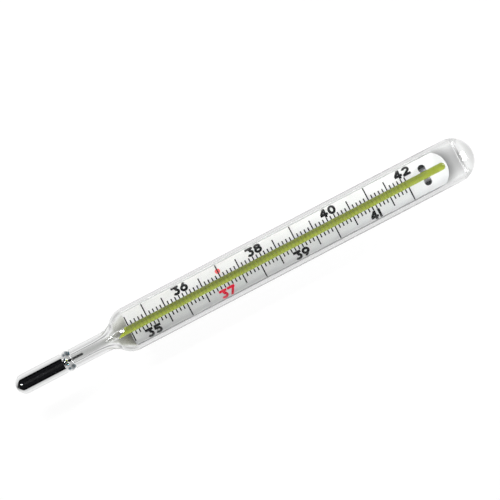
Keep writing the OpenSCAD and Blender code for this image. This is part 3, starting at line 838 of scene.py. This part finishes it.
class THERMOMETER_OT_mercury(Operator):
    """The mercury in the bulb and the column that rises from it"""

    bl_idname = "thermometer.mercury"
    bl_label = "Mercury"

    def execute(self, context):
        g, metal = setting("glass"), setting("finish").mercury
        # The near-black colour and the dimmed limb paint a dark reflection into the mercury.
        material = metal_material("mercury_painted_dark_reflection", metal, toned(metal, 0.6), gloss=0.18, scale=500.0,
                                  limb=0.1)
        self.reservoir(g, material)
        self.column(material)
        return {"FINISHED"}

    def reservoir(self, g, material):
        """The pool that fills the bulb and narrows to the bore in the collar."""
        radius, (start, end) = CAD["mercury_reservoir"][1].y, span("mercury_reservoir")
        lap, lip = 0.0001, 0.00012
        flat = span("bulb")[1] + lap
        outline = ([(start + s * radius, r * radius) for s, r in NOSE]
                   + arc((flat - lip, radius - lip), (lip, lip), 90, 0, 6)
                   + [(flat, 2 * g.bore), (end, 0.5 * g.bore), (end, 0.0)])
        add_piece("mercury_reservoir_pool", turned([outline], g.sides), [material],
                  ["mercury_reservoir"])

    def column(self, material):
        """The thread and the head as one piece, from the thread's start to the head's top."""
        radius, top = CAD["mercury_head"][1].y, span("mercury_head")[1]
        start, joint = span("mercury_thread")
        steps, sides = 40, 24
        straight = [(start + (top - radius - start) * i / steps, radius) for i in range(steps + 1)]
        crown = arc((top - radius, 0.0), (radius, radius), 90, 0, 8)[1:-1]
        outline = [(start, 0.0)] + straight + crown + [(top, 0.0)]
        piece = add_piece("mercury_column_thread", turned([outline], sides), [material],
                          ["mercury_thread", "mercury_head"], body=None)
        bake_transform(piece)


def filled(outlines, thickness, edge, place, cuts=()):
    """A flat shape with holes, given as closed outlines, with thickness and rounded edges.

    place takes a point (across, along, height over the middle) to its place in the frame.
    """
    shape = bpy.data.curves.new("outline", "CURVE")
    shape.dimensions, shape.fill_mode = "2D", "BOTH"
    shape.extrude, shape.bevel_depth, shape.offset = thickness / 2 - edge, edge, -edge
    shape.bevel_resolution = 2
    for outline in outlines:
        line = shape.splines.new("POLY")
        line.points.add(len(outline) - 1)
        line.use_cyclic_u = True
        for point, (u, v) in zip(line.points, outline):
            point.co = (u, v, 0.0, 1.0)
    holder = bpy.data.objects.new("outline", shape)
    bpy.context.scene.collection.objects.link(holder)
    flat = bpy.data.meshes.new_from_object(holder.evaluated_get(bpy.context.evaluated_depsgraph_get()))
    bpy.data.objects.remove(holder)
    bpy.data.curves.remove(shape)
    bm = bmesh.new()
    bm.from_mesh(flat)
    bpy.data.meshes.remove(flat)
    bmesh.ops.remove_doubles(bm, verts=bm.verts, dist=SAME_POINT)
    for point, normal in cuts:
        bmesh.ops.bisect_plane(bm, geom=bm.verts[:] + bm.edges[:] + bm.faces[:], dist=TOUCHING,
                               plane_co=point, plane_no=normal)
    for vert in bm.verts:
        vert.co = place(vert.co)
    bmesh.ops.recalc_face_normals(bm, faces=bm.faces)
    return bm


class THERMOMETER_OT_scale_plate(Operator):
    """The white enamelled plate, bowed across its width"""

    bl_idname = "thermometer.scale_plate"
    bl_label = "Scale plate"

    def execute(self, context):
        p, finish = setting("scale"), setting("finish")
        low, high = CAD["scale_plate"]
        half, end = high.y, high.x
        end_radius = (half ** 2 + p.end_rise ** 2) / (2 * p.end_rise)
        reach = math.degrees(math.asin(half / end_radius))
        sides, strips, end_steps = 48, 16, 40
        outline = ([(low.x, half), (low.x, -half)]
                   + arc((end - end_radius, 0.0), (end_radius, end_radius), -reach, reach, end_steps))
        holes = [arc((CLIP_X, side * p.hole_place), (p.hole, p.hole), 0, 360 - 360 / sides, sides - 1)
                 for side in (-1, 1)]

        def bowed(point):
            radius = p.bow + point.z - p.plate / 2
            return Vector((point.x, point.y,
                           AXIS_Z + CROWN_Z - p.bow + math.sqrt(radius ** 2 - point.y ** 2)))

        cuts = [((0.0, half * i / strips, 0.0), (0.0, 1.0, 0.0)) for i in range(1 - strips, strips)]
        plate = filled([outline, *holes], p.plate, p.plate_edge, bowed, cuts)
        material = coat_material("fired_white_enamel", finish.white, toned(finish.white, 0.95), gloss=0.35,
                                 cloud_scale=250.0, grain_scale=7000.0)
        add_piece("scale_plate_enamel", plate, [material], ["scale_plate"])
        return {"FINISHED"}


class THERMOMETER_OT_clip(Operator):
    """The spring clip whose legs hold the capillary to the plate"""

    bl_idname = "thermometer.clip"
    bl_label = "Capillary clip"

    def execute(self, context):
        p, finish = setting("scale"), setting("finish")
        low, high = CAD["capillary_clip"]
        base = low.z + p.clip_metal - AXIS_Z
        leg, wide = p.grip + p.flare, p.clip_metal
        foot = CROWN_Z - p.bow + math.sqrt(p.bow ** 2 - leg ** 2)
        tip = (p.grip * math.cos(p.grip_angle), p.grip * math.sin(p.grip_angle))
        half = [(high.y, low.z - AXIS_Z), (high.y, base), (leg + wide, base), (leg + wide, foot),
                (p.grip + wide, 0.0), (tip[0] + wide, tip[1]), tip, (p.grip, 0.0), (leg, foot), (leg, base)]
        outline = half + [(-y, z) for y, z in reversed(half)]

        def stood(point):
            return Vector((CLIP_X + point.z, point.x, AXIS_Z + point.y))

        clip = filled([outline], high.x - low.x, p.clip_round, stood)
        # Faces below the legs' feet take a near-black copy of the steel: painted shade where the plate's holes
        # show the base.
        looks = (("tarnished_spring_steel", finish.steel, 0.5),
                 ("painted_shade_spring_steel", toned(finish.steel, 0.1), 0.6))
        materials = [metal_material(name, metal, toned(metal, 0.4), gloss, scale=1500.0)
                     for name, metal, gloss in looks]
        piece = add_piece("capillary_clip_steel", clip, materials, ["capillary_clip"])
        for face in piece.data.polygons:
            face.material_index = int(face.center.z < AXIS_Z + foot)
        piece.visible_shadow = False
        return {"FINISHED"}


class THERMOMETER_OT_printing(Operator):
    """The fired ink of the lines, numerals and red spot"""

    bl_idname = "thermometer.printing"
    bl_label = "Printing"

    def execute(self, context):
        finish = setting("finish")
        for name, base, nodes in (
                ("fired_black_ink", finish.black,
                 ("degree_lines", "half_degree_lines", "tenth_lines", "numerals")),
                ("fired_red_ink", finish.red, ("normal_numeral",)),
                ("fired_spot_ink", finish.spot, ("normal_spot",))):
            ink = coat_material(name, base, toned(base, 1.5), gloss=0.4, cloud_scale=900.0,
                                grain_scale=12000.0, shine=0.0)
            for node in nodes:
                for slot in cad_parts[node].material_slots:
                    slot.material = ink
        return {"FINISHED"}


OPERATORS = (
    THERMOMETER_OT_stage, THERMOMETER_OT_sheath, THERMOMETER_OT_bulb, THERMOMETER_OT_capillary,
    THERMOMETER_OT_mercury, THERMOMETER_OT_scale_plate, THERMOMETER_OT_clip, THERMOMETER_OT_printing,
)


class THERMOMETER_PT_sidebar(Panel):
    """Lists the settings and the pieces"""

    bl_label = "Clinical Thermometer"
    bl_space_type = "VIEW_3D"
    bl_region_type = "UI"
    bl_category = "Thermometer"

    def draw(self, context):
        for operator in OPERATORS:
            self.layout.operator(operator.bl_idname)
        for group, kind in GROUPS.items():
            box = self.layout.box()
            box.label(text=group.capitalize())
            for name in kind.__annotations__:
                box.prop(setting(group), name)


CLASSES = (*GROUPS.values(), *OPERATORS, THERMOMETER_PT_sidebar)


def register():
    for kind in CLASSES:
        bpy.utils.register_class(kind)
    for group, kind in GROUPS.items():
        setattr(bpy.types.Scene, "thermometer_" + group, PointerProperty(type=kind))


def unregister():
    for group in GROUPS:
        delattr(bpy.types.Scene, "thermometer_" + group)
    for kind in reversed(CLASSES):
        bpy.utils.unregister_class(kind)


def main():
    register()
    for operator in OPERATORS:
        getattr(bpy.ops.thermometer, operator.bl_idname.split(".")[1])()


if __name__ == "__main__":
    main()
